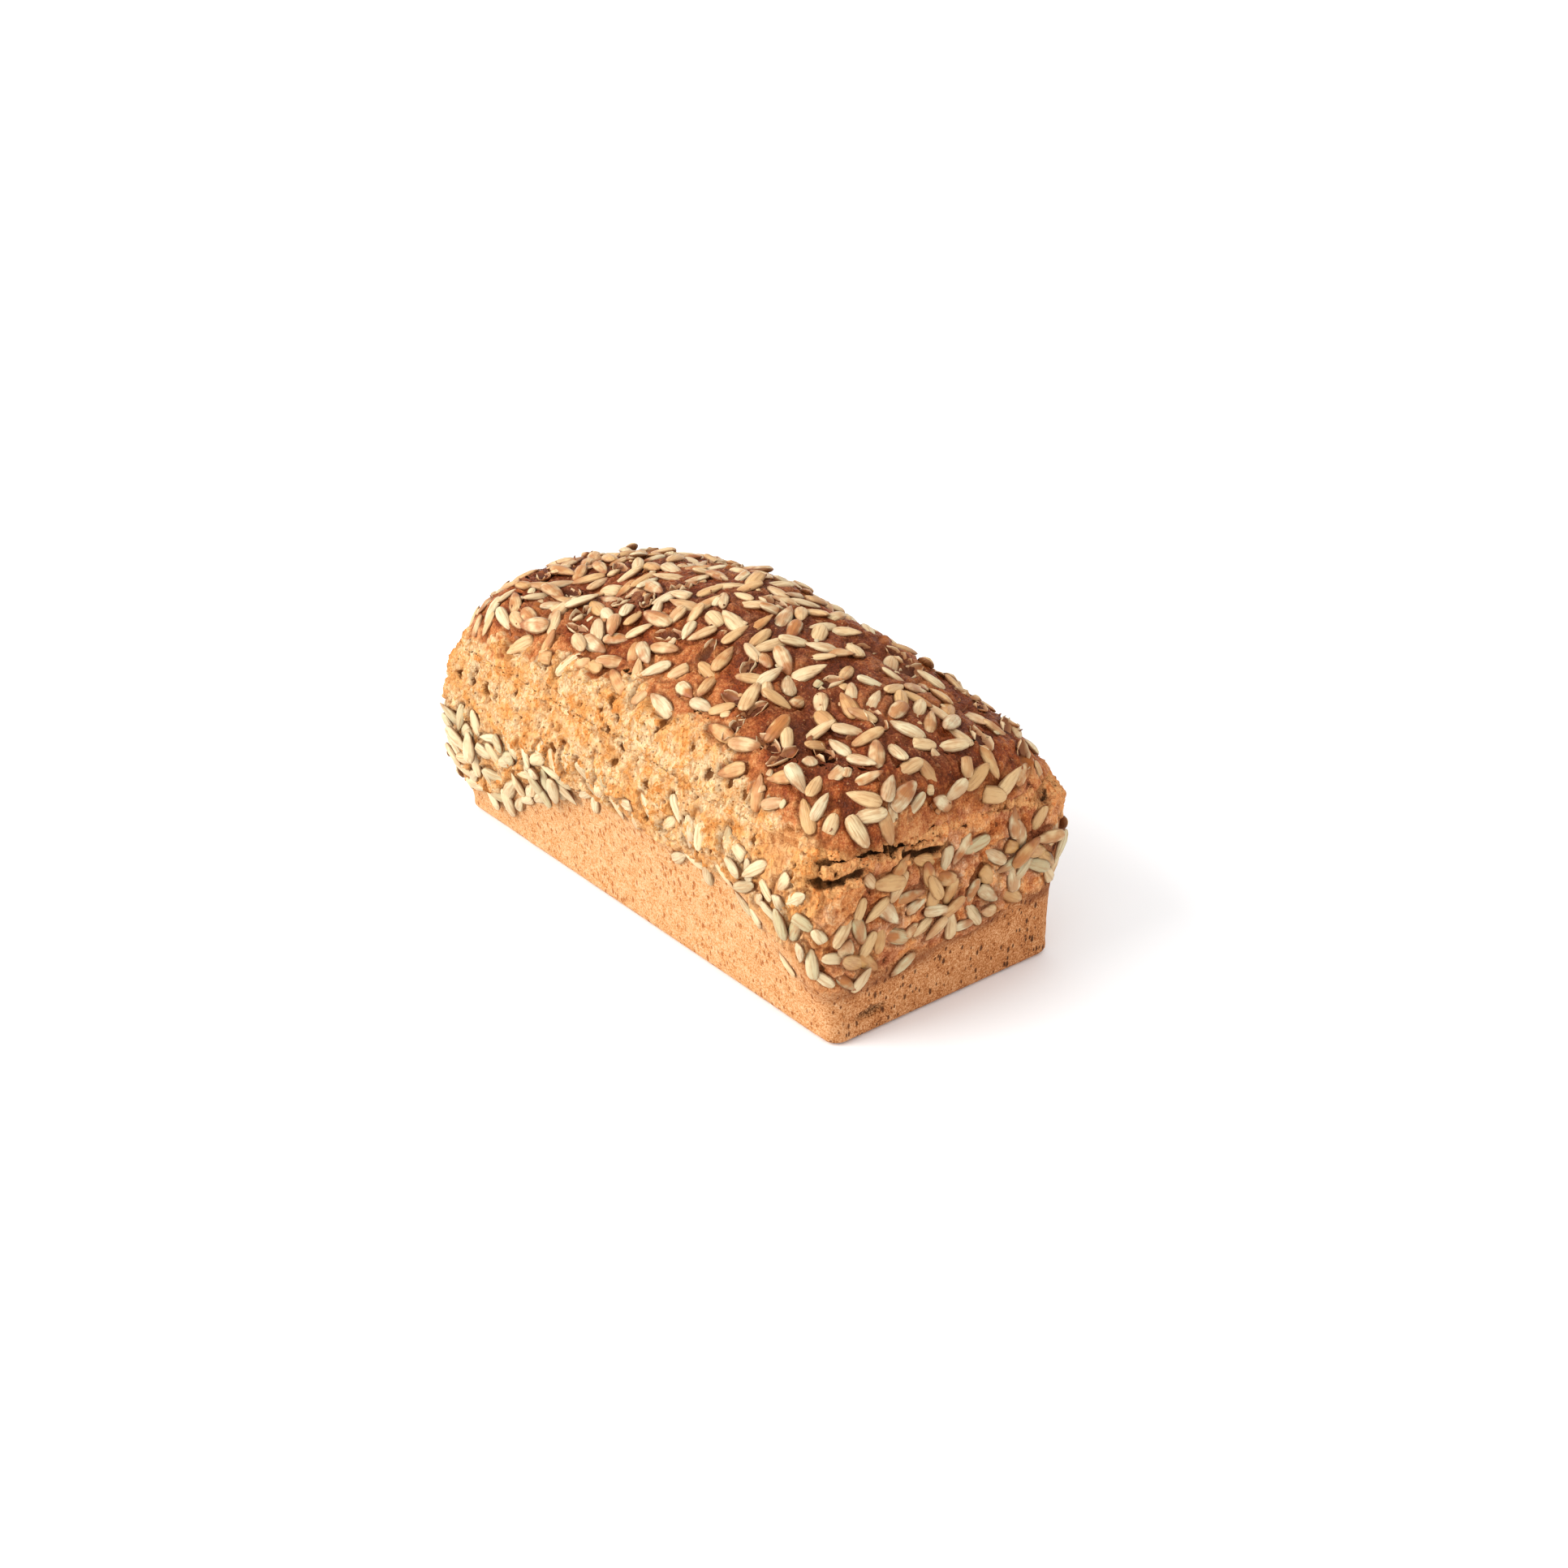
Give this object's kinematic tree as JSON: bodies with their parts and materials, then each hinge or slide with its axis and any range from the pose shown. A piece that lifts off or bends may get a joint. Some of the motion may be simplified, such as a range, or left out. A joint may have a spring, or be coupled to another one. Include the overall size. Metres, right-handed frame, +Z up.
{
  "type": "whole spelt tin loaf with sunflower kernels",
  "caption": "Uncut wholegrain spelt tin loaf: straight tin-baked walls, a torn seam under a domed dark crust, and sunflower kernels baked onto the top and into a band round the sides",
  "frame": {"origin": "middle of the flat base, on the surface that the loaf stands on", "axes": "+X along the loaf to its near end, +Y across it to the right side, +Z up; the left side with the dense kernels is -Y"},
  "size_m": [0.2122, 0.1075, 0.102],
  "materials": {
    "crust": "baked bread crust, golden tan on the walls and reddish brown on top, matt",
    "kernel": "toasted sunflower kernels, cream to tan with darker edges, satin"
  },
  "bodies": {
    "root": {"loaf": "crust"}
  },
  "joints": []
}
